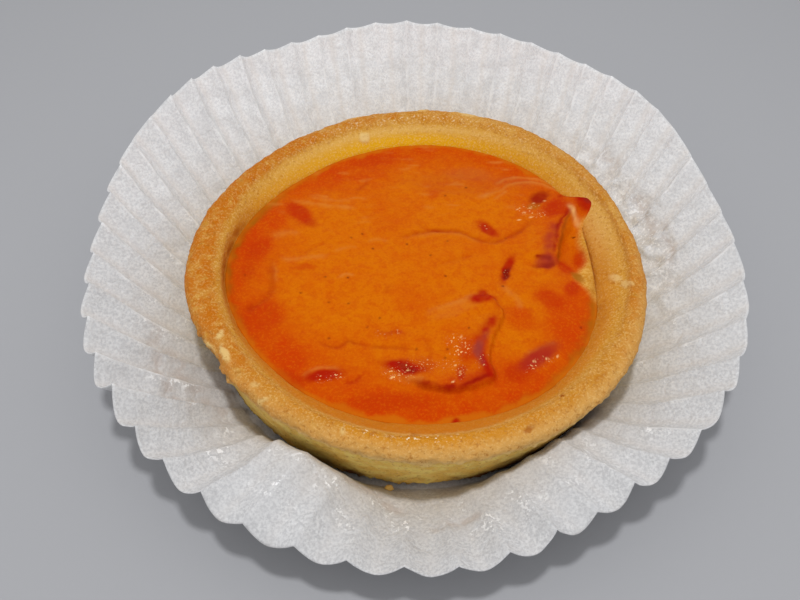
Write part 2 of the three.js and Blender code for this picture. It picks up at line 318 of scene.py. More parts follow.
def inner_wall_radius(angle, height):
    skin = filling_radius(angle)
    up = (height - SKIN_EDGE) / (inner_edge_height(angle) - SKIN_EDGE)
    down = (SKIN_EDGE - height) / (SKIN_EDGE - CORNER_TOP)
    above = between(skin, inner_edge_radius(angle), up)
    below = between(skin, CORNER_RADIUS, down)
    return np.where(height >= SKIN_EDGE, above, below)


# ---- Crust ----
# A mark runs along the section: below 0 on the underside, 0 at the foot, 1 at the lip, 2 on the
# crest's outer side, 3 at the inner edge, 4 where the skin meets the wall, and 5 to 8 where it is hidden.

RIM_SPOTS = [
    # place, half length, half width, turn, and how much of what it carries
    ((-11.2, 36.6), 1.3, 1.1, 20, {"pale": 1.0, "lift": 0.35}),
    ((2.5, 44.6), 1.8, 0.8, 30, {"pale": 0.8, "lift": 0.25}),
    ((12.4, 43.0), 2.6, 1.3, -20, {"pale": 0.7, "lift": 0.2}),
    ((-14.5, 41.8), 3.0, 1.2, 15, {"pale": 0.5}),
    ((-5.0, 42.0), 1.6, 0.8, 10, {"toast": 0.7}),
    ((18.0, -39.9), 1.1, 0.45, 20, {"brown_and_shade": 0.7, "lift": -0.2}),
    ((24.7, -33.1), 0.35, 0.3, 0, {"brown_and_shade": 1.0, "lift": -0.2}),
    ((-7.5, -40.5), 0.9, 0.4, 60, {"brown_and_shade": 0.5}),
    ((-1.0, -40.8), 1.3, 0.8, 40, {"brown_and_shade": 0.3}),
    ((38.9, -5.4), 1.6, 1.0, -50, {"pale": 0.8, "lift": 0.3}),
    ((40.5, -7.9), 1.4, 0.7, -60, {"pale": 0.7, "lift": 0.25}),
    ((-26.5, -34.1), 1.4, 0.5, 20, {"pale": 0.8, "lift": 0.2}),
    ((-28.0, -31.3), 0.9, 0.6, 0, {"pale": 0.5}),
    ((-37.6, -22.6), 2.6, 0.7, -52, {"pale": 1.0, "lift": 0.35}),
    ((-35.4, -20.6), 1.3, 0.45, 62, {"pale": 0.9, "lift": 0.25}),
    ((-34.0, -24.6), 2.4, 0.55, -62, {"pale": 0.9, "lift": 0.25}),
    ((-12.5, -40.2), 1.0, 0.5, -70, {"pale": 0.7, "lift": 0.15}),
    # painted shadow under the skin's overhanging edge, on the bare crust
    ((33.9, -4.4), 3.6, 1.3, 80, {"brown_and_shade": 0.35}),
    ((-33.6, 29.0), 2.4, 1.0, 40, {"toast": 0.5}),
    ((31.6, -29.6), 2.0, 0.4, 42, {"brown_and_shade": 0.25, "lift": -0.1}),
]
SECTION_SMOOTHING = 10
# Stretches of the crust, each with its angle and half width
FRONT = (-90, 55)
BACK = (92, 50)
LEFT = (172, 50)
RIGHT = (-12, 42)
GLAZED = (-88, 29)
SANDY = (-76, 60)
SPARKLING = (-93, 13)
SCORCHED = (-54, 17)
PALE_INSIDE = (14, 13)
SHADE_LEFT = (176, 16)
SHADE_RIGHT = (-18, 16)
# How deep the relief is on each zone, for lumps, pebbles and sand
WALL_RELIEF = (0.16, 0.14, 0.07)
RIM_RELIEF = (0.22, 0.16, 0.14)
INSIDE_RELIEF = (0.14, 0.07, 0.04)


def crust_section(angle):
    rim = rim_radius(angle)
    crest = crest_height(angle)
    foot = foot_radius(angle)
    inner = inner_edge_radius(angle)
    inner_top = inner_edge_height(angle)
    width, height = RIM_ROUNDING
    middle = (inner + rim - width) / 2
    rounding = [
        (rim - width * (1 - math.cos(turn)), crest - height * (1 - math.sin(turn)), mark, 4)
        for turn, mark in ((0, 1.2), (math.pi / 6, 1.45), (math.pi / 3, 1.7), (math.pi / 2, 2))
    ]
    corners = [
        (0, UNDERSIDE, -1, 1),
        (foot - 3, UNDERSIDE, -0.3, 4),
        (foot - FOOT_CORNER, UNDERSIDE, -0.05, 4),
        (foot, UNDERSIDE + FOOT_CORNER, 0.05, 3),
        (rim - LIP_INSET, crest - LIP_BELOW_CREST, 1, 34),
        *rounding,
        (middle, crest - CREST_FALL, 2.5, 6),
        (np.minimum(inner + INNER_ROUNDING[0], middle - 0.3), crest - INNER_ROUNDING[1], 2.85, 5),
        (inner_wall_radius(angle, inner_top), inner_top, 3, 3),
        (filling_radius(angle), SKIN_EDGE, 4, 16),
        (inner_wall_radius(angle, SKIN_EDGE - SKIRT_DEPTH), SKIN_EDGE - SKIRT_DEPTH, 5, 6),
        (CORNER_RADIUS, CORNER_TOP, 6, 4),
        (CAVITY_FLOOR_RADIUS, CAVITY_FLOOR, 7, 1),
        (0, CAVITY_FLOOR, 8, 4),
    ]
    return resampled(corners, angle, smoothing=SECTION_SMOOTHING)


def make_crust():
    angle = full_turn(PIE_SECTIONS)
    radius, height, mark = crust_section(angle)
    angle = np.broadcast_to(angle, radius.shape)
    points = placed(radius, angle, height)
    wall = smooth_step(-0.1, 0.06, mark) * (1 - smooth_step(0.92, 1.05, mark))
    lip = bell(mark - 1.06, 0.16)
    rim = smooth_step(0.95, 1.15, mark) * (1 - smooth_step(2.7, 3.1, mark))
    inside = smooth_step(2.7, 3.1, mark) * (1 - smooth_step(4.3, 4.8, mark))
    foot = bell(mark - 0.02, 0.12)
    front = angle_bell(angle, *FRONT)
    back = angle_bell(angle, *BACK)
    left = angle_bell(angle, *LEFT)
    glazed = angle_bell(angle, *GLAZED)
    chip = angle_bell(angle, CHIP[0], CHIP[1] * 1.6)

    lumps = fractal(points, 7.0, 1)
    pebbles = fractal(points, 1.8, 2)
    sand = fractal(points, 0.9, 3, 2)
    flakes = np.abs(fractal(points, 2.2, 5))
    patches = fractal(points, 5.0, 6)

    lift = lip * (0.25 + 0.75 * front) * (0.9 * flakes - 0.25 + 0.25 * pebbles)
    lift += lip * chip * (1.4 * flakes - 0.4)
    lift += foot * (0.8 * np.abs(pebbles) + 0.3 * lumps - 0.2)
    for zone, (a, b, c) in ((wall, WALL_RELIEF), (rim, RIM_RELIEF), (inside, INSIDE_RELIEF)):
        lift += zone * (a * lumps + b * pebbles + c * sand)

    toasted_sides = 0.3 + 1.1 * left + 0.2 * angle_bell(angle, *RIGHT)
    # The band just above the skin at the left and right is painted shade, where the skin meets the wall
    shaded_sides = 0.9 * angle_bell(angle, *SHADE_LEFT) + 0.45 * angle_bell(angle, *SHADE_RIGHT)
    masks = {
        "wall": wall,
        "inside": inside,
        "toast": rim * (1 - smooth_step(2.4, 3.0, mark)) * toasted_sides
        * (0.9 + 0.7 * lumps + 0.5 * pebbles),
        "pale": lip * (0.35 + 0.65 * front) * (1 - 0.8 * left) * (0.9 + 0.8 * pebbles)
        + 0.4 * bell(mark - 2.97, 0.1) * glazed
        + 0.4 * inside * angle_bell(angle, *PALE_INSIDE) * bell(mark - 3.6, 0.6)
        + 0.45 * inside * back * bell(mark - 3.05, 0.3),
        "glaze": bell(mark - 2.35, 0.55) * glazed * smooth_step(-0.75, -0.15, patches),
        "yellow": between(0.45, 1, smooth_step(3.1, 3.7, mark)) * inside * back,
        "scorch": wall * np.clip(1.3 * angle_bell(angle, *SCORCHED) * (1.15 - mark) + 0.6 * chip
                                 + bell(mark - 0.1, 0.2) * (0.3 + 1.3 * patches), 0, 1),
        "brown_and_shade": bell(mark - 3.75, 0.34) * (0.8 + 0.8 * pebbles) * shaded_sides,
        "seep": smooth_step(3.0 - 0.2 * front, 3.9 - 0.7 * front, mark)
        * (1 - smooth_step(4.3, 4.8, mark)) * (0.5 + 0.5 * front) * (1 - 0.6 * back),
        "sand": angle_bell(angle, *SANDY) * rim * smooth_step(2.3, 1.5, mark),
        "spark": rim * (angle_bell(angle, *SPARKLING) * bell(mark - 2.5, 0.4) * (0.8 + patches)
                        + 0.4 * back * bell(mark - 2.4, 0.5)),
    }
    masks = {name: np.clip(values, 0, 1) for name, values in masks.items()}
    above = smooth_step(1.1, 1.3, mark) * (1 - smooth_step(3.6, 4.0, mark))
    x = points[..., 0] + 0.4 * pebbles
    y = points[..., 1] + 0.4 * sand
    for *spot, amounts in RIM_SPOTS:
        lift += lay(masks, above * smooth_step(0.2, 0.65, oval(x, y, *spot)), amounts)
    return turned_mesh("pie_crust", points + lift[..., None] * facings(points), masks)


# ---- Filling ----
# Every place on the skin is (x, y). A sheet lies raised on the right-hand side of its path.

SKIN_MASKS = ("red", "deep", "dark", "pale", "bloom", "olive_and_shade", "wet", "glint", "bare", "thin")
# The skin's edge where it has shrunk from the pastry behind the upper flap
BARE_EDGE = [(38.6, 14.0), (35.6, 11.8), (34.2, 8.6), (33.9, 5.2), (34.5, 1.2), (32.8, -1.2), (31.6, -2.6),
             (32.2, -4.6), (33.4, -7.0), (34.6, -9.8), (36.0, -13.0)]
BARE_TURN = (-0.36, 0.37)  # between which angles, in radians
BEHIND_FLAP = ((33.0, 9.0), 6.0, 2.2, 84)  # a stretch that stays orange up to the wall

FLAP_FOLD = [(38.0, 15.4), (36.2, 16.6), (34.4, 15.2), (32.6, 12.2), (30.6, 8.6), (29.2, 5.2), (28.6, 2.2),
             (28.4, -0.6)]
LOWER_FLAP = [(13.1, -7.2), (14.9, -9.8), (16.3, -13.4), (14.4, -17.2), (13.2, -21.2), (13.1, -24.5),
              (13.4, -27.4), (11.4, -28.6), (8.9, -29.4), (5.6, -29.9), (2.1, -29.2), (-1.0, -27.7),
              (-5.5, -25.2)]

# Sheets: path, rise, how far the rise reaches back, how far the edge drops
SKIN_SHEETS = [
    (FLAP_FOLD, 1.5, 5.5, 1.0),
    (LOWER_FLAP, 1.25, 4.5, 0.45),
]

# Strokes: path, half width, and how much of what lies along it
SKIN_STROKES = [
    # the upper flap's rolled edge: a dark red line in the groove on its inside, partly painted shade, and
    # a brown painted shadow under its outside
    ([(33.0, 15.0), (32.1, 13.5), (29.9, 9.4), (28.7, 4.6), (28.0, 1.8)], 0.4,
     {"lift": -0.25, "deep": 0.95, "dark": 0.2}),
    ([(33.4, 15.6), (32.8, 13.1), (31.1, 9.4), (29.8, 4.6), (29.1, 0.5)], 0.36,
     {"lift": -0.15, "olive_and_shade": 0.8, "deep": 0.4}),
    ([(32.6, 13.4), (30.5, 9.4), (29.3, 4.6), (28.6, 1.2)], 0.3, {"lift": 0.25}),
    ([(29.6, 10.4), (28.3, 7.3), (27.2, 3.4), (26.6, 0.1)], 1.1, {"deep": 0.7, "bloom": 0.3}),
    # the pucker at its foot
    ([(24.1, 1.6), (26.1, 1.4), (27.6, 0.9)], 0.42, {"lift": 0.2, "dark": 0.35, "deep": 0.8}),
    ([(23.8, -0.7), (26.7, -0.3), (28.3, 0.1)], 0.42, {"lift": -0.25, "dark": 0.35, "deep": 0.9}),
    # a glare behind its rolled edge
    ([(33.1, 15.6), (34.1, 12.9), (34.7, 10.3)], 0.55, {"pale": 1.0, "glint": 0.55}),
    # pale ridges that lead to the tip
    ([(14.5, 19.4), (16.5, 20.2), (18.8, 21.1), (21.6, 23.1), (26.5, 23.7), (30.2, 21.8), (33.0, 20.1),
      (36.8, 18.4)], 0.45, {"lift": 0.25, "pale": 0.6}),
    ([(17.9, 23.3), (21.8, 25.2), (26.9, 24.9), (29.6, 23.9), (33.4, 21.4)], 0.5,
     {"lift": 0.2, "pale": 0.55}),
    ([(17.4, 18.7), (19.2, 20.0), (20.4, 21.1)], 0.4, {"lift": 0.12, "pale": 0.5}),
    ([(31.0, 18.6), (34.0, 18.4), (37.0, 17.0)], 0.6, {"deep": 0.6, "dark": 0.15}),
    # the lower flap's stripe, and its dark red bottom edge, partly painted shadow under the flap
    ([(15.5, -13.7), (12.6, -17.4), (11.7, -20.6), (11.9, -24.6), (13.0, -26.7), (12.8, -28.0)],
     1.1, {"deep": 1.0}),
    ([(13.2, -17.4), (11.6, -20.0), (11.2, -22.6), (11.6, -25.0)], 0.6, {"bloom": 0.5}),
    ([(12.9, -27.2), (10.8, -28.2), (7.6, -29.5), (4.0, -29.7), (0.3, -28.4)], 0.55,
     {"deep": 1.0, "dark": 0.3}),
    ([(13.0, -26.0), (10.0, -27.6), (5.4, -28.8)], 1.4, {"deep": 0.3, "red": 0.5}),
    ([(11.7, -8.1), (8.9, -9.6), (6.4, -10.5), (3.7, -11.6), (2.4, -12.8)], 0.6,
     {"lift": 0.22, "pale": 0.45}),
    ([(17.0, -5.6), (18.4, -7.4), (19.8, -9.4), (19.9, -11.3)], 0.6, {"lift": 0.15, "pale": 0.35}),
    ([(14.8, -9.6), (16.4, -12.2)], 0.9, {"deep": 0.4}),
    ([(1.4, -18.0), (2.5, -20.9), (2.6, -23.1)], 0.5, {"lift": -0.1, "deep": 0.3}),
    # blisters' edges
    ([(-1.6, -27.3), (-0.2, -27.9), (1.2, -28.3)], 0.6, {"pale": 0.6, "lift": 0.2}),
    ([(20.3, -22.0), (22.6, -21.0), (25.7, -19.8)], 0.4, {"pale": 0.45, "lift": 0.15}),
    ([(-20.4, -27.0), (-18.8, -25.7), (-16.5, -25.1), (-13.8, -25.7)], 0.4, {"pale": 0.5, "lift": 0.15}),
    # creases
    ([(-2.5, 7.8), (0.8, 8.8), (4.7, 9.5), (8.0, 9.5), (10.8, 8.5), (13.3, 7.1), (15.4, 6.3), (17.5, 6.6),
      (21.9, 9.2), (25.3, 12.2)], 0.6, {"lift": -0.2, "deep": 0.4, "dark": 0.12}),
    ([(-1.5, 7.3), (4.7, 8.7), (8.0, 8.7), (10.4, 7.8), (13.0, 6.4)], 0.5, {"lift": 0.1, "pale": 0.25}),
    ([(0.5, 11.9), (1.5, 10.7), (2.7, 10.0), (6.6, 9.2)], 0.5, {"lift": -0.1, "deep": 0.3}),
    ([(-17.9, -19.2), (-16.0, -20.0), (-14.1, -20.2), (-12.5, -18.9), (-11.5, -19.5), (-8.6, -20.2),
      (-4.4, -20.2), (-0.5, -20.6)], 0.42, {"lift": -0.12, "deep": 0.35, "dark": 0.1}),
    ([(-29.2, 1.5), (-28.5, -4.0), (-28.4, -7.7), (-30.3, -10.2), (-32.9, -11.8)], 0.65,
     {"lift": -0.15, "deep": 0.3, "dark": 0.1}),
    ([(-13.0, -28.2), (-11.1, -27.8), (-9.8, -26.6)], 0.5, {"lift": -0.12, "deep": 0.6}),
    ([(4.1, -0.7), (8.7, 1.6), (12.1, 2.9)], 0.6, {"lift": -0.08, "deep": 0.2}),
    ([(-12.5, 21.3), (-10.1, 24.5)], 0.5, {"deep": 0.35}),
    ([(-22.8, 3.2), (-18.5, 6.3)], 0.6, {"lift": -0.08, "deep": 0.28}),
    ([(-5.7, -5.6), (-5.4, -7.4)], 0.6, {"deep": 0.4}),
    ([(-9.2, -15.8), (-8.4, -13.0)], 0.4, {"deep": 0.2}),
    ([(-7.7, -16.8), (-5.8, -17.3), (-2.0, -16.9)], 0.6, {"deep": 0.5, "wet": 0.4}),
    # pale streaks, a painted sheen
    ([(-26.2, 18.3), (-20.8, 17.0), (-17.0, 16.4), (-13.1, 16.0)], 0.55, {"lift": 0.12, "pale": 0.5}),
    ([(-22.5, 19.4), (-17.5, 18.2), (-13.8, 18.4)], 0.5, {"lift": 0.1, "pale": 0.4}),
    ([(-29.2, 7.5), (-27.0, 8.6), (-24.3, 8.6)], 0.8, {"lift": 0.12, "pale": 0.42}),
    ([(-26.9, 1.2), (-22.5, 1.6), (-18.2, 2.3)], 0.6, {"lift": 0.12, "pale": 0.45}),
    ([(-16.2, 3.8), (-14.0, 4.6), (-12.0, 4.9)], 0.4, {"pale": 0.35}),
    ([(-9.4, 6.2), (-7.6, 7.0), (-5.6, 6.6)], 0.4, {"pale": 0.3}),
    ([(-28.7, 0.4), (-28.2, -1.6), (-27.8, -4.4)], 0.5, {"pale": 0.35}),
    ([(-15.2, -3.5), (-13.9, -2.5), (-12.3, -2.9)], 0.4, {"pale": 0.5, "lift": 0.08}),
    ([(14.0, 19.2), (16.9, 21.1), (18.6, 22.6)], 0.5, {"pale": 0.35}),
]

# Spots: place, half length, half width, turn, and how much of what they carry
SKIN_SPOTS = [
    # upper flap
    ((36.6, 15.9), 2.7, 1.9, -62, {"deep": 1.0}),
    ((37.4, 16.2), 1.6, 0.9, -62, {"dark": 0.3, "bloom": 0.3}),
    ((27.2, 19.0), 2.5, 1.6, 42, {"deep": 0.9, "dark": 0.35, "lift": -0.3}),
    ((25.6, 16.4), 1.6, 1.0, 20, {"olive_and_shade": 0.6, "wet": 0.5}),
    ((24.4, 15.0), 2.8, 1.4, -35, {"wet": 0.8, "lift": 0.2}),
    ((26.8, 13.6), 1.6, 1.0, -35, {"wet": 0.5}),
    ((30.2, 15.0), 3.4, 2.6, 20, {"red": 1.0, "deep": 0.45}),
    ((26.4, 0.3), 2.4, 1.3, 10, {"deep": 0.65, "bloom": 0.3}),
    ((33.7, 1.9), 2.2, 1.3, 85, {"deep": 0.35, "red": 0.9}),
    ((33.1, 8.2), 0.35, 0.3, 0, {"dark": 0.9}),
    ((15.3, 9.9), 2.9, 1.4, -48, {"deep": 0.95, "red": 0.6, "lift": -0.2}),
    ((14.6, 10.6), 1.2, 0.8, -40, {"wet": 0.8}),
    ((18.6, -0.9), 4.0, 1.0, 68, {"deep": 0.95, "lift": -0.35}),
    ((18.3, -2.1), 1.8, 0.55, 66, {"dark": 0.6, "wet": 0.6, "lift": -0.3}),
    # painted shadow under the skin's overhanging edge, beside the bare crust
    ((32.4, -3.0), 1.9, 1.1, -62, {"olive_and_shade": 0.9}),
    ((30.6, -6.2), 2.2, 1.3, 70, {"deep": 0.3, "red": 1.0}),
    # lower flap
    ((13.0, -9.1), 2.6, 1.3, 6, {"deep": 0.95, "red": 0.5, "lift": 0.35}),
    ((13.1, -7.7), 1.3, 1.1, 90, {"deep": 0.9}),
    ((7.9, -26.2), 1.7, 0.9, 85, {"deep": 0.8, "wet": 1.0, "lift": -0.2}),
    ((7.3, -19.0), 1.7, 1.3, 0, {"wet": 0.9}),
    ((8.4, -21.2), 2.2, 1.4, 30, {"wet": 0.9}),
    ((11.6, -23.9), 1.6, 1.1, 60, {"wet": 1.0}),
    ((5.8, -24.6), 2.2, 1.3, 0, {"wet": 0.8}),
    ((10.4, -21.0), 3.4, 2.2, 62, {"red": 0.8, "deep": 0.3}),
    ((11.2, -21.3), 1.7, 1.0, 75, {"bloom": 0.6}),
    # blisters
    ((-2.3, -25.1), 4.2, 1.6, -16, {"deep": 1.0, "lift": 0.35}),
    ((-1.6, -25.4), 2.2, 0.8, -26, {"dark": 0.4, "wet": 1.0, "lift": -0.2}),
    ((-3.4, -26.6), 2.8, 1.0, -25, {"wet": 1.0, "pale": 0.2}),
    ((1.2, -24.4), 2.4, 1.6, -20, {"wet": 0.8, "deep": 0.35}),
    ((22.3, -22.6), 4.6, 1.7, 36, {"deep": 0.9, "bloom": 0.25, "lift": 0.3}),
    ((22.4, -24.2), 3.2, 1.0, 32, {"wet": 0.9}),
    ((18.4, -26.0), 3.0, 2.2, 30, {"deep": 0.45, "red": 0.8}),
    ((-16.8, -26.7), 3.9, 1.3, 10, {"deep": 0.9, "lift": 0.25}),
    ((-15.6, -27.2), 2.4, 0.8, 10, {"wet": 1.0}),
    ((-22.8, -27.6), 3.6, 1.5, -36, {"deep": 0.4, "red": 0.8}),
    # reddened places
    ((-24.6, 14.6), 4.2, 2.0, -48, {"red": 1.0, "deep": 0.35}),
    ((-22.0, 11.6), 1.6, 1.2, -30, {"deep": 0.35}),
    ((-29.0, 11.6), 2.6, 1.8, 50, {"red": 0.8}),
    ((-32.0, 4.2), 3.6, 2.2, 60, {"red": 0.9, "deep": 0.2}),
    ((-33.4, -2.2), 2.6, 1.6, 80, {"deep": 0.25}),
    ((-29.4, -13.4), 4.6, 4.2, 50, {"red": 0.9, "deep": 0.15}),
    ((-22.0, -0.8), 2.4, 1.0, 0, {"red": 0.5, "deep": 0.18}),
    ((25.9, -9.0), 3.4, 2.2, -50, {"red": 0.9, "deep": 0.25}),
    ((29.0, -14.0), 7.5, 4.5, 80, {"red": 0.8}),
    ((-5.2, -32.4), 8.0, 1.9, 4, {"red": 0.8, "deep": 0.2}),
    ((6.4, -36.0), 0.8, 0.6, 0, {"deep": 0.9}),
    ((-9.2, 31.4), 5.5, 2.0, 12, {"red": 0.8, "deep": 0.15}),
    ((4.4, 20.4), 2.2, 1.0, 60, {"red": 0.4}),
    # bloom and dull places
    ((12.4, 26.8), 5.6, 2.2, -5, {"bloom": 0.1, "pale": 0.12}),
    ((9.0, 23.5), 11.0, 3.6, -4, {"bloom": 0.05, "deep": 0.14}),
    ((30.3, -0.4), 2.0, 1.4, -50, {"deep": 0.3, "red": 1.0}),
    ((19.9, -13.6), 3.6, 2.6, -50, {"red": 0.7, "deep": 0.06}),
    ((22.0, 24.0), 5.0, 1.6, -10, {"bloom": 0.12}),
    ((7.5, -11.8), 5.0, 1.2, 24, {"pale": 0.18}),
]

# Small bright reflections on the moist places
SKIN_GLINTS = [(23.6, 14.5), (24.8, 15.8), (25.8, 17.3), (22.2, 15.4), (22.3, 12.4), (24.9, 13.0),
               (28.3, 17.9), (8.3, -18.4), (6.9, -24.9), (7.7, -26.2), (6.5, -28.7), (21.4, -23.9),
               (23.9, -23.0), (25.8, -22.5), (-1.6, -25.6), (-4.4, -26.9)]
GLINT_SIZE = (0.36, 0.2, 25)  # half length, half width and turn

SKIN_SPECKS = [(-13.2, 7.5), (-10.9, 8.5), (-8.6, 4.3), (-17.9, -3.4), (-16.8, -9.8), (-13.0, -10.0),
               (-22.4, -7.5), (-33.9, -3.1), (-16.3, -18.4), (-9.2, -15.8), (-13.4, -3.5), (-1.6, 5.6),
               (3.2, 2.5), (6.8, 20.0), (11.5, 22.5), (6.8, 6.5), (6.0, -3.1), (18.9, 7.3), (5.7, -20.9),
               (0.0, -20.8), (5.2, -22.8), (-6.9, -13.6), (9.9, -16.3), (31.0, -16.0), (17.2, -5.7)]
SPECK_SIZE = 0.24
SPECK_DARK = 0.8


class Skin:
    """The skin's relief and masks at its points, laid on stroke by stroke."""

    def __init__(self, x, y):
        self.place = flat_points(x, y)
        self.x = self.drifted(x, 31)
        self.y = self.drifted(y, 33)
        self.strength = np.clip(0.85 + 0.6 * fractal(self.place, 2.4, 35), 0.4, 1.15)
        self.lift = np.zeros(x.shape)
        self.masks = {name: np.zeros(x.shape) for name in SKIN_MASKS}

    def drifted(self, values, seed):
        """The values with some noise, which gives all that is laid there an uneven edge."""
        return values + 0.35 * fractal(self.place, 3.0, seed) + 0.16 * fractal(self.place, 0.9, seed + 1)

    def lay(self, share, amounts):
        self.lift += lay(self.masks, share, amounts, self.strength)

    def stroke(self, path, half_width, amounts):
        reach = 3 * half_width + 1
        low = np.min(path, axis=0) - reach
        high = np.max(path, axis=0) + reach
        near = (self.x > low[0]) & (self.x < high[0]) & (self.y > low[1]) & (self.y < high[1])
        away, passed = path_distance(self.x[near], self.y[near], path)
        share = np.zeros(self.x.shape)
        ends = smooth_step(0, 0.12, passed) * smooth_step(1, 0.88, passed)
        share[near] = bell(away, half_width) * between(0.35, 1.0, ends)
        self.lay(share, amounts)

    def spot(self, amounts, *where):
        """Lays a spot, with relief that is softer than its colours."""
        share = oval(self.x, self.y, *where)
        lay(self.masks, smooth_step(0.08, 0.75, share), amounts, between(1, self.strength, 0.4))
        self.lift += amounts.get("lift", 0) * share

    def sheet(self, path, rise, reach, drop):
        away, passed = path_distance(self.x, self.y, path)
        ends = smooth_step(0.0, 0.1, passed) * smooth_step(1.0, 0.84, passed)
        self.lift += rise * ends * np.where(away < 0, bell(away, reach), bell(away, drop))


def skin_edge_height(angle):
    climb = FLAP_TIP[2] * angle_bell(angle, *FLAP_TIP[:2])
    recess = RECEDED[2] * angle_bell(angle, *RECEDED[:2])
    return SKIN_EDGE + MENISCUS + climb + recess


def wrinkle(skin):
    """Fine wrinkles that run across the far half, with a painted pale sheen on their crests, and the
    unevenness of the whole.
    """
    x = skin.place[..., 0]
    y = skin.place[..., 1]
    across = fractal(flat_points(x / 3.4, y), 1.7, 43)
    far = smooth_step(6, 20, y) * smooth_step(-0.2, 0.3, fractal(skin.place, 9.0, 44) + 0.1)
    skin.lift += 0.10 * far * across
    skin.masks["pale"] = np.maximum(skin.masks["pale"], 0.5 * far * smooth_step(0.25, 0.75, across))
    skin.lift += 0.14 * fractal(skin.place, 9.0, 11) + 0.05 * fractal(skin.place, 2.2, 12)


def wear_edge(skin, angle, from_wall):
    """Thins the skin out over the pastry, paints shade along its edge at both sides where it meets the
    wall, and bares the crust's wall.
    """
    edge_noise = 0.9 * fractal(skin.place, 3.0, 45)
    skin.masks["thin"] = 0.8 * smooth_step(1.3, 0.1, from_wall + edge_noise) * (
        1 - angle_bell(angle, FLAP_TIP[0], FLAP_TIP[1] + 2))
    sides = 0.8 * angle_bell(angle, 172, 30) + 0.6 * angle_bell(angle, -25, 30)
    # Painted shade along the skin's edge at the left and right, where it meets the wall, over a slight
    # groove
    line = bell(from_wall - 0.7 + edge_noise, 0.9) * sides
    skin.lay(line, {"olive_and_shade": 1.0, "dark": 0.12})
    skin.lift -= 0.25 * line
    away, _ = path_distance(skin.x, skin.y, BARE_EDGE)
    low, high = BARE_TURN
    window = smooth_step(low, low + 0.1, angle) * smooth_step(high, high - 0.05, angle)
    skin.masks["bare"] = window * smooth_step(-0.9, 1.3, away)


def make_skin(x, y, angle):
    """The skin's relief and masks over its whole top."""
    skin = Skin(x, y)
    from_wall = filling_radius(angle) - np.hypot(x, y)
    red = 0.1 + 0.75 * smooth_step(15, 0, from_wall)
    red += 0.34 * fractal(skin.place, 11.0, 41) + 0.22 * fractal(skin.place, 2.6, 42)
    skin.masks["red"] = np.clip(red * (1 - 0.9 * oval(x, y, *BEHIND_FLAP)), 0, 1)
    for sheet in SKIN_SHEETS:
        skin.sheet(*sheet)
    for stroke in SKIN_STROKES:
        skin.stroke(*stroke)
    for *where, amounts in SKIN_SPOTS:
        skin.spot(amounts, *where)
    for at in SKIN_SPECKS:
        skin.lay(oval(x, y, at, SPECK_SIZE, SPECK_SIZE, 0), {"dark": SPECK_DARK})
    for at in SKIN_GLINTS:
        skin.lay(smooth_step(0.2, 0.7, oval(skin.x, skin.y, at, *GLINT_SIZE)), {"glint": 1.0})
    wrinkle(skin)
    wear_edge(skin, angle, from_wall)
    skin.lift -= HOLLOW_DEPTH * oval(x, y, *HOLLOW)
    return skin


def skin_height(radius, angle, share, lift):
    """How high the skin lies: it is slightly dished, and climbs the wall at its edge."""
    edge = skin_edge_height(angle) - SKIN_BURIED
    height = SKIN_EDGE - SKIN_DISH * (1 - (radius / FILLING_RADIUS) ** 4) + lift
    height = between(height, edge, smooth_step(0.965, 1.0, share))
    up_wall = (radius - filling_radius(angle)) / (inner_edge_radius(angle) - filling_radius(angle))
    wall_height = between(SKIN_EDGE, inner_edge_height(angle), up_wall)
    cover = between(-SKIN_BURIED, SKIN_COVER, smooth_step(1.0, 0.975, share))
    return np.maximum(height, wall_height + cover)


def below_skin(angle):
    """The radius and height of the filling's hidden rows, from the middle of its underside up."""
    low = SKIN_EDGE - SKIRT_DEPTH
    edge_height = skin_edge_height(angle)
    edge_radius = inner_wall_radius(angle, edge_height)
    rows = [
        (0, CAVITY_FLOOR + GAP),
        (CAVITY_FLOOR_RADIUS - GAP, CAVITY_FLOOR + GAP),
        (inner_wall_radius(angle, CORNER_TOP) - GAP, CORNER_TOP + GAP),
        (inner_wall_radius(angle, low) - GAP, low),
        (edge_radius, edge_height - 2 * SKIN_BURIED),
        (edge_radius, edge_height - SKIN_BURIED),
    ]
    return [np.array([np.broadcast_to(value, angle.shape) for value in column]) for column in zip(*rows)]


def make_filling():
    angle = full_turn(PIE_SECTIONS)
    share = np.linspace(1, 0, SKIN_RINGS)[1:, None]
    radius = share * inner_wall_radius(angle, skin_edge_height(angle))
    turn = np.arctan2(np.sin(angle), np.cos(angle))
    skin = make_skin(radius * np.cos(angle), radius * np.sin(angle), np.broadcast_to(turn, radius.shape))
    height = skin_height(radius, angle, share, skin.lift)
    hidden_radius, hidden_height = below_skin(angle)
    radius = np.vstack([hidden_radius, radius])
    height = np.vstack([hidden_height, height])
    points = placed(radius, np.broadcast_to(angle, radius.shape), height)
    hidden = len(hidden_radius)
    masks = {name: np.vstack([np.repeat(values[:1], hidden, axis=0), values])
             for name, values in skin.masks.items()}
    return turned_mesh("pie_filling", points, masks)


# ---- Paper case ----

SHOULDER_SMOOTHING = 10
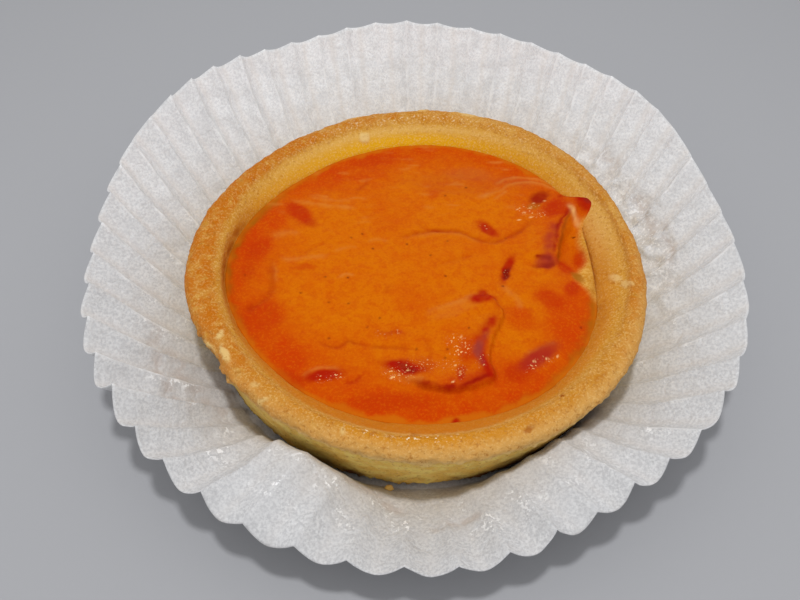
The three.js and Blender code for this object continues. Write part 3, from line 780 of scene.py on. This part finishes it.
# Soft creases that the paper keeps from its folding: their path in angle and share of the wall's
# width, half width in millimetres and strength
PAPER_CREASES = [
    ([(-136, 0.43), (-141, 0.52), (-145, 0.55), (-152, 0.53), (-160, 0.51)], 1.4, 0.45),
    ([(-131, 0.16), (-137, 0.27), (-143, 0.35), (-150, 0.39), (-154, 0.46)], 2.0, 0.4),
    ([(-79, 0.48), (-84, 0.49), (-88, 0.55)], 1.2, 0.45),
    ([(-91, 0.35), (-95, 0.29), (-98, 0.2), (-102, 0.18), (-107, 0.15)], 1.4, 0.45),
    ([(6, 0.64), (1, 0.61), (-3, 0.6), (-7, 0.55)], 0.9, 0.5),
    ([(17, 0.55), (12, 0.57), (7, 0.55), (3, 0.52)], 1.1, 0.45),
    ([(31, 0.6), (24, 0.58)], 1.3, 0.35),
]
CREASE_DEPTH = 0.4
MM_PER_DEGREE = 0.85  # round the wall
MM_PER_SHARE = 30.0  # up the wall
CRINKLED = ((11, 26), (0.47, 0.16))  # a crinkled place in the wall: angle and share, each with half width


def foot_reach(angle):
    """How far out from the case's centre the pie's foot reaches."""
    along = CASE_CENTRE[0] * np.cos(angle) + CASE_CENTRE[1] * np.sin(angle)
    clear = (FOOT_RADIUS + GAP) ** 2 - CASE_CENTRE[0] ** 2 - CASE_CENTRE[1] ** 2 + along ** 2
    return np.sqrt(clear) - along


def shoulder_height(angle, share):
    height = sum(size * angle_bell(angle, at, half_width) for at, half_width, size in SHOULDERS)
    outwards = ((1 - share) / (1 - SHOULDER_SHARE)) ** SHOULDER_FALL
    profile = smoothed(np.minimum(share / SHOULDER_SHARE, outwards), SHOULDER_SMOOTHING)
    return height * profile


def flute_angles():
    """Angles round the case, among them that of every ridge and valley."""
    fine = np.linspace(-1, 2 * math.pi + 1, 40000)
    drift = np.radians(FLUTE_START + waves(FLUTE_DRIFT, fine))
    flute = FLUTES * (fine - drift) / (2 * math.pi)
    return np.interp(np.arange(CASE_SECTIONS) / FLUTE_SECTIONS, flute, fine)


def paper_creases(angle, share):
    """How strong a crease is at each place of the wall."""
    turn = np.degrees(np.arctan2(np.sin(angle), np.cos(angle)))
    crease = np.zeros(angle.shape)
    for path, half_width, strength in PAPER_CREASES:
        flat = [(at * MM_PER_DEGREE, up * MM_PER_SHARE) for at, up in path]
        away, passed = path_distance(turn * MM_PER_DEGREE, share * MM_PER_SHARE, flat)
        ends = smooth_step(0, 0.2, passed) * smooth_step(1, 0.8, passed)
        crease = np.maximum(crease, strength * ends * bell(away, half_width))
    return crease


def with_floor(values):
    """A copy of the wall's rows that starts with more of its first, for the case's flat floor."""
    return np.vstack([np.repeat(values[:1], CASE_FLOOR_ROWS, axis=0), values])


def fluted_wall(angle, share, front, from_ridge):
    """The wall's radius and height from the pie's foot to the case's edge."""
    fold = np.maximum(CASE_FLOOR_RADIUS, foot_reach(angle))
    lean = np.radians(CASE_LEAN + waves(CASE_LEAN_WAVES, angle))
    wall = CASE_WALL + waves(CASE_WALL_WAVES, angle)
    run = CASE_FLOOR_RADIUS + wall * np.cos(lean) - fold
    rise = wall * np.sin(lean)
    slope = np.arctan2(rise, run)
    ridge = (1 - 2 * from_ridge) ** FLUTE_SHARPNESS
    uneven = 1 + FLUTE_JITTER * np.random.default_rng(7).standard_normal(FLUTES)
    size = (FLUTE_HEIGHT + waves(FLUTE_HEIGHT_WAVES, angle)) * np.repeat(uneven, FLUTE_SECTIONS)
    size = size * between(FLUTE_STEEPER, 1, front)
    flute = size * ridge * between(share ** FLUTE_GROWTH[0], share ** FLUTE_GROWTH[1], front)
    teeth = EDGE_TEETH * (ridge - 0.5) * share ** 3
    radius = fold + run * share - flute * np.sin(slope) + teeth * np.cos(slope)
    height = PAPER_SOLID / 2 + rise * share ** WALL_RISE_POWER + flute * np.cos(slope)
    return radius, height + shoulder_height(angle, share) + teeth * np.sin(slope)


def make_paper():
    share = np.linspace(0, 1, CASE_ROWS)[:, None]
    edge_angle = flute_angles()
    angle = edge_angle - math.radians(FLUTE_SLANT) * (1 - share) * np.cos(edge_angle)
    front = angle_bell(angle, *CASE_FRONT)
    from_ridge = np.abs(np.arange(CASE_SECTIONS) % FLUTE_SECTIONS / FLUTE_SECTIONS - 0.5)
    radius, height = fluted_wall(angle, share, front, from_ridge)
    share, front, angle, radius, height = (
        with_floor(v) for v in np.broadcast_arrays(share, front, angle, radius, height))
    radius[:CASE_FLOOR_ROWS] *= np.linspace(0, 1, CASE_FLOOR_ROWS, endpoint=False)[:, None]
    middle = placed(radius, angle, height, CASE_CENTRE)
    sway = 0.45 * smooth_step(0, 0.2, share) * fractal(middle, 8.0, 24)
    middle = middle + sway[..., None] * flat_points(-np.sin(angle), np.cos(angle))
    up = -facings(middle)
    up[0] = (0, 0, 1)
    crease = paper_creases(angle, share)
    (turn, turn_width), (up_wall, wall_width) = CRINKLED
    crinkled = angle_bell(angle, turn, turn_width) * bell(share - up_wall, wall_width)
    folds = 0.4 - 1.6 * np.abs(fractal(middle, 5.0, 23, 2))
    crumple = 0.2 * fractal(middle, 9.0, 21) + 0.08 * fractal(middle, 3.0, 22)
    crumple += (0.12 * bell(share - 0.4, 0.3) + 0.8 * crinkled) * folds - CREASE_DEPTH * crease
    middle = middle + (crumple * smooth_step(0, 0.15, share))[..., None] * up

    patches = np.clip(0.55 + 1.2 * fractal(middle, 5.0, 25, 2), 0, 1)
    fading = smooth_step(0.15, 0.5, share + 0.35 * (1 - front)) * (1 - 0.8 * front)
    masks = {
        # whitened fold lines on the ridges, partly painted highlight
        "ridge": np.clip(1 - FLUTE_SECTIONS * from_ridge, 0, 1) * patches * fading,
        # painted shade in the flutes' valleys
        "valley_shade": bell(0.5 - from_ridge, 0.11) * fading,
        "crease": crease,
        # painted shade near the pie's foot, warmed by light bounced from the pie, strongest in front
        "painted_warm_shade": smooth_step(0.7, 0.1, share) * between(0.45, 1, front),
        # painted light and shade: the paper is darker in front and brighter behind
        "painted_dimming": (1 - np.sin(angle)) / 2,
        # white nicks along the ridges, and painted glints on the crinkled place and in front
        "nicks_and_glints": bell(from_ridge, 0.14) * bell(share - 0.5, 0.25) * smooth_step(0.5, 1.0, patches)
        + 0.8 * crinkled + 0.7 * front * bell(share - 0.45, 0.3) * smooth_step(0.6, 0.95, patches),
    }
    half = PAPER_THICKNESS / 2
    points = np.vstack([middle - half * up, (middle + half * up)[::-1]])
    masks = {name: np.vstack([values, values[::-1]]) for name, values in masks.items()}
    return turned_mesh("paper_baking_case", points, masks)


# ---- Crumb on the paper ----

CRUMB = (-5.0, -42.4)
CRUMB_SIZE = (0.85, 0.6, 0.5)
CRUMB_SECTIONS = 18
CRUMB_RINGS = 12


def make_crumb(paper):
    """A crumb of pastry, resting on the paper's upper side at its place."""
    vertices = np.array([tuple(v.co) for v in paper.data.vertices]) / MM
    nearest = np.argsort(np.hypot(vertices[:, 0] - CRUMB[0], vertices[:, 1] - CRUMB[1]))[:4]
    floor_height = vertices[nearest, 2].max()
    turn = full_turn(CRUMB_SECTIONS)
    climb = np.linspace(-math.pi / 2, math.pi / 2, CRUMB_RINGS)[:, None]
    ball = placed(np.cos(climb), turn, np.sin(climb) + 0 * turn)
    ball *= 1 + 0.35 * fractal(ball, 1.1, 51)[..., None]
    points = ball * CRUMB_SIZE
    points[..., 2] -= points[..., 2].min()
    points += (*CRUMB, floor_height)
    none = np.zeros(points.shape[:2])
    return turned_mesh("pastry_crumb", points, {"pale": none + 0.6, "yellow": none + 0.7})


# ---- Materials ----


def albedo(red, green, blue):
    """A colour given in the usual 0 to 255 screen values, as linear light."""
    def linear(value):
        v = value / 255
        return v / 12.92 if v <= 0.04045 else ((v + 0.055) / 1.055) ** 2.4
    return (linear(red), linear(green), linear(blue), 1.0)


class Shader:
    """A material's node tree, with short ways to add to it."""

    def __init__(self, name):
        self.material = bpy.data.materials.new(name)
        self.material.use_nodes = True
        self.tree = self.material.node_tree
        self.surface = self.tree.nodes["Principled BSDF"]
        self.place = self.add("ShaderNodeTexCoord").outputs["Object"]

    def add(self, kind, settings=None, **inputs):
        node = self.tree.nodes.new(kind)
        for key, value in (settings or {}).items():
            setattr(node, key, value)
        for key, value in inputs.items():
            self.put(node.inputs[key.replace("_", " ").strip()], value)
        return node

    def put(self, socket, value):
        if isinstance(value, bpy.types.NodeSocket):
            self.tree.links.new(value, socket)
        else:
            socket.default_value = value

    def mask(self, name):
        return self.add("ShaderNodeAttribute", {"attribute_name": name}).outputs["Fac"]

    def grain(self, size, detail=2.0, rough=0.5):
        """Noise from 0 to 1 whose bumps are about size millimetres wide."""
        node = self.add("ShaderNodeTexNoise", Vector=self.place, Scale=1 / (size * MM),
                        Detail=detail, Roughness=rough)
        return node.outputs["Fac"]

    def ramp(self, value, low, high):
        node = self.add("ShaderNodeMapRange", {"interpolation_type": "SMOOTHSTEP"},
                        Value=value, From_Min=low, From_Max=high)
        return node.outputs["Result"]

    def math(self, operation, a, b):
        node = self.add("ShaderNodeMath", {"operation": operation})
        self.put(node.inputs[0], a)
        self.put(node.inputs[1], b)
        return node.outputs["Value"]

    def times(self, a, b):
        return self.math("MULTIPLY", a, b)

    def mix(self, share, a, b):
        node = self.add("ShaderNodeMix", {"data_type": "RGBA"})
        self.put(node.inputs["Factor"], share)
        self.put(node.inputs[6], a)
        self.put(node.inputs[7], b)
        return node.outputs[2]

    def painted(self, colour, tints):
        """The colour with the tint of each mask laid over it in turn."""
        for name, tint in tints.items():
            colour = self.mix(self.mask(name), colour, albedo(*tint))
        return colour

    def bump(self, height, depth, strength=1.0, below=None):
        node = self.add("ShaderNodeBump", Height=height, Distance=depth * MM, Strength=strength)
        if below is not None:
            self.put(node.inputs["Normal"], below)
        return node.outputs["Normal"]

    def finish(self, **inputs):
        for key, value in inputs.items():
            self.put(self.surface.inputs[key.replace("_", " ")], value)
        return self.material


PASTRY_TINTS = {"yellow": (230, 174, 18), "sand": (220, 168, 94), "glaze": (210, 136, 12),
                "pale": (232, 196, 126)}
# The brown colour is both brown spots on the rim and painted shade where the skin meets the wall
BURNT_AND_SHADE_TINTS = {"scorch": (118, 74, 34), "brown_and_shade": (164, 86, 14)}
# On the skin, the olive colour is painted shade in gaps, under edges and along the sides, besides a brown
# place by the bruise; the pale colour is partly painted sheen
SKIN_TINTS = {"olive_and_shade": (166, 98, 12), "pale": (214, 128, 50), "deep": (172, 20, 3),
              "bloom": (150, 62, 54), "dark": (96, 18, 6)}


def pastry_colour(s, fine):
    """Golden, with toasted, glazed and burnt places, light and dark grains, painted shade where the skin
    meets the wall at both sides, and painted glints.
    """
    patch = s.ramp(s.grain(3.0, 4.0, 0.6), 0.4, 0.6)
    colour = s.mix(patch, albedo(208, 152, 68), albedo(200, 138, 46))
    colour = s.mix(s.mask("inside"), colour, albedo(208, 148, 52))
    toast = s.times(s.mask("toast"), s.ramp(s.grain(1.8, 4.0, 0.7), 0.3, 0.5))
    colour = s.mix(toast, colour, albedo(194, 108, 8))
    colour = s.painted(colour, PASTRY_TINTS)
    wall = s.mix(patch, albedo(236, 208, 114), albedo(226, 182, 84))
    colour = s.mix(s.mask("wall"), colour, wall)
    smooth = s.math("MAXIMUM", s.mask("glaze"), s.times(toast, 0.7))
    light = s.math("SUBTRACT", 0.52, s.times(smooth, 0.34))
    colour = s.mix(s.times(s.ramp(fine, 0.5, 0.62), light), colour, albedo(238, 196, 126))
    dark = s.math("SUBTRACT", 0.65, s.times(s.mask("yellow"), 0.65))
    speckle = s.ramp(s.grain(0.75, 4.0, 0.7), 0.47, 0.33)
    colour = s.mix(s.times(speckle, dark), colour, albedo(172, 104, 26))
    colour = s.mix(s.times(s.mask("seep"), 0.8), colour, albedo(204, 112, 8))
    colour = s.painted(colour, BURNT_AND_SHADE_TINTS)
    spark = s.times(s.mask("spark"), s.ramp(s.grain(0.55, 2.0), 0.61, 0.65))
    return s.mix(spark, colour, albedo(255, 240, 205))


def pastry():
    s = Shader("pastry")
    fine = s.grain(0.42, 4.0, 0.7)
    coarse = s.bump(s.grain(1.6, 3.0, 0.6), 0.3, 0.5)
    bump = s.bump(fine, 0.22, 0.8, coarse)
    return s.finish(Base_Color=pastry_colour(s, fine), Roughness=0.7, Specular_IOR_Level=0.2,
                    Specular_Tint=(1.0, 0.65, 0.3, 1.0), Normal=bump, Coat_Normal=bump,
                    Coat_Weight=s.times(s.mask("glaze"), 0.25), Coat_Roughness=0.12)


def custard_colour(s):
    """Orange skin with reddened, browned and worn places, painted shade in its gaps and along its edge,
    painted sheen on its pale streaks, and glints where it is moist.
    """
    fine = s.grain(0.5, 4.0, 0.7)
    colour = s.mix(s.mask("red"), albedo(212, 107, 1), albedo(199, 60, 1))
    deeper = s.times(s.ramp(s.grain(1.6, 4.0, 0.6), 0.45, 0.65), 0.35)
    colour = s.mix(deeper, colour, albedo(196, 70, 2))
    lighter = s.times(s.ramp(fine, 0.5, 0.64), 0.22)
    colour = s.mix(lighter, colour, albedo(226, 128, 8))
    darker = s.times(s.ramp(fine, 0.48, 0.34), 0.25)
    colour = s.mix(darker, colour, albedo(178, 62, 4))
    colour = s.mix(s.mask("thin"), colour, albedo(202, 106, 10))
    bare = s.mix(s.ramp(fine, 0.4, 0.6), albedo(208, 142, 48), albedo(226, 172, 84))
    colour = s.mix(s.mask("bare"), colour, bare)
    colour = s.painted(colour, SKIN_TINTS)
    glint = s.times(s.mask("wet"), s.ramp(s.grain(0.42, 2.0), 0.62, 0.67))
    glint = s.times(s.math("MAXIMUM", glint, s.mask("glint")), 0.85)
    return s.mix(glint, colour, albedo(255, 208, 140))


def custard():
    s = Shader("custard")
    bump = s.bump(s.grain(1.0, 3.0, 0.6), 0.06, 0.6)
    drops = s.bump(s.grain(0.55, 2.0, 0.6), 0.22, 1.0)
    wet = s.times(s.mask("wet"), s.ramp(s.grain(0.8, 2.0), 0.45, 0.6))
    return s.finish(Base_Color=custard_colour(s), Roughness=0.5, Specular_IOR_Level=0.1, Normal=bump,
                    Specular_Tint=(1.0, 0.45, 0.08, 1.0), Coat_Weight=s.times(wet, 0.22),
                    Coat_Roughness=0.1, Coat_Normal=drops)


def paper():
    s = Shader("paper")
    fibre = s.ramp(s.grain(0.5, 4.0, 0.7), 0.36, 0.64)
    # Painted light and shade: a brighter paper colour behind and a darker one in front
    painted_bright_paper = s.mix(fibre, albedo(226, 226, 228), albedo(250, 250, 251))
    painted_dim_paper = s.mix(fibre, albedo(190, 190, 192), albedo(218, 218, 219))
    colour = s.mix(s.mask("painted_dimming"), painted_bright_paper, painted_dim_paper)
    cloud = s.times(s.ramp(s.grain(3.0, 3.0), 0.55, 0.35), 0.3)
    colour = s.mix(cloud, colour, albedo(208, 208, 210))
    # Painted warm shade and bounced light near the pie's foot
    colour = s.mix(s.times(s.mask("painted_warm_shade"), 0.3), colour, albedo(214, 204, 192))
    # Painted shade in the flutes' valleys
    colour = s.mix(s.times(s.mask("valley_shade"), 0.35), colour, albedo(208, 199, 191))
    crease = s.times(s.mask("crease"), s.ramp(s.grain(1.5, 3.0), 0.3, 0.6))
    colour = s.mix(crease, colour, albedo(188, 170, 158))
    # Whitened fold lines on the ridges, partly painted highlight
    line = s.times(s.ramp(s.mask("ridge"), 0.25, 0.85), 0.7)
    colour = s.mix(line, colour, albedo(252, 252, 253))
    # White nicks, and painted glints on the crinkles
    nicks_and_glints = s.times(s.mask("nicks_and_glints"), s.ramp(s.grain(0.8, 2.0, 0.6), 0.56, 0.61))
    colour = s.mix(nicks_and_glints, colour, albedo(253, 253, 254))
    away = s.math("ABSOLUTE", s.math("SUBTRACT", s.grain(4.0, 2.0), 0.5), 0.0)
    crinkles = s.bump(s.ramp(away, 0.0, 0.08), 0.12, 0.4)
    bump = s.bump(s.grain(0.6, 3.0, 0.6), 0.05, 0.6, crinkles)
    return s.finish(Base_Color=colour, Roughness=0.75, Specular_IOR_Level=0.2, Normal=bump,
                    Subsurface_Weight=0.1, Subsurface_Radius=(1.0, 1.0, 1.0), Subsurface_Scale=1 * MM)


def floor_finish():
    s = Shader("floor")
    return s.finish(Base_Color=albedo(173, 174, 178), Roughness=0.9, Specular_IOR_Level=0.1)


# ---- Stage: floor, light and camera ----

LAMP_PLACE = (-6, -35, 400)  # the key light hangs over the near side of the pie
LAMP_WIDTH = 36
KEY_SHARE = 0.4  # of the light on a level surface; the rest comes from all round
LIGHT = 1.0  # a level surface's brightness over its own colour
FLOOR_HALF = 3.0  # in metres
CAMERA_PLACE = (-0.00305, -0.10023, 0.12759)  # in metres
CAMERA_TILT = 38.73
CAMERA_LENS = 33.75
CAMERA_SENSOR = 36.0


def make_floor():
    mesh = bpy.data.meshes.new("floor")
    corners = [(x * FLOOR_HALF, y * FLOOR_HALF, 0) for x, y in ((-1, -1), (1, -1), (1, 1), (-1, 1))]
    mesh.from_pydata(corners, [], [(0, 1, 2, 3)])
    mesh.materials.append(floor_finish())
    floor = add_object("floor", mesh)


def make_key():
    data = bpy.data.lights.new("key", "AREA")
    data.shape = "DISK"
    data.size = LAMP_WIDTH * MM
    place = Vector(LAMP_PLACE) * MM
    data.energy = LIGHT * KEY_SHARE * math.pi ** 2 * place.length ** 4 / place.z ** 2
    add_object("key", data).location = place


def make_surroundings():
    world = bpy.data.worlds.new("world")
    bpy.context.scene.world = world
    world.use_nodes = True
    background = world.node_tree.nodes["Background"]
    background.inputs["Color"].default_value = (1, 1, 1, 1)
    background.inputs["Strength"].default_value = LIGHT * (1 - KEY_SHARE)
    bpy.context.scene.view_settings.view_transform = "Standard"


def make_camera():
    data = bpy.data.cameras.new("camera")
    data.lens = CAMERA_LENS
    data.sensor_width = CAMERA_SENSOR
    data.clip_start = 0.01
    camera = add_object("camera", data)
    camera.location = CAMERA_PLACE
    camera.rotation_euler = (math.radians(CAMERA_TILT), 0, 0)
    bpy.context.scene.camera = camera


# ---- The whole ----


def dress(piece, material, slot, *nodes):
    piece.data.materials.append(material)
    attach(piece, "root")
    if nodes:
        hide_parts(*nodes)


make_camera()
make_floor()
make_key()
make_surroundings()
PASTRY = pastry()
PAPER = make_paper()
dress(make_crust(), PASTRY, "pastry", "crust")
dress(make_filling(), custard(), "custard", "filling")
dress(PAPER, paper(), "paper", "paper_case")
dress(make_crumb(PAPER), PASTRY, "pastry")
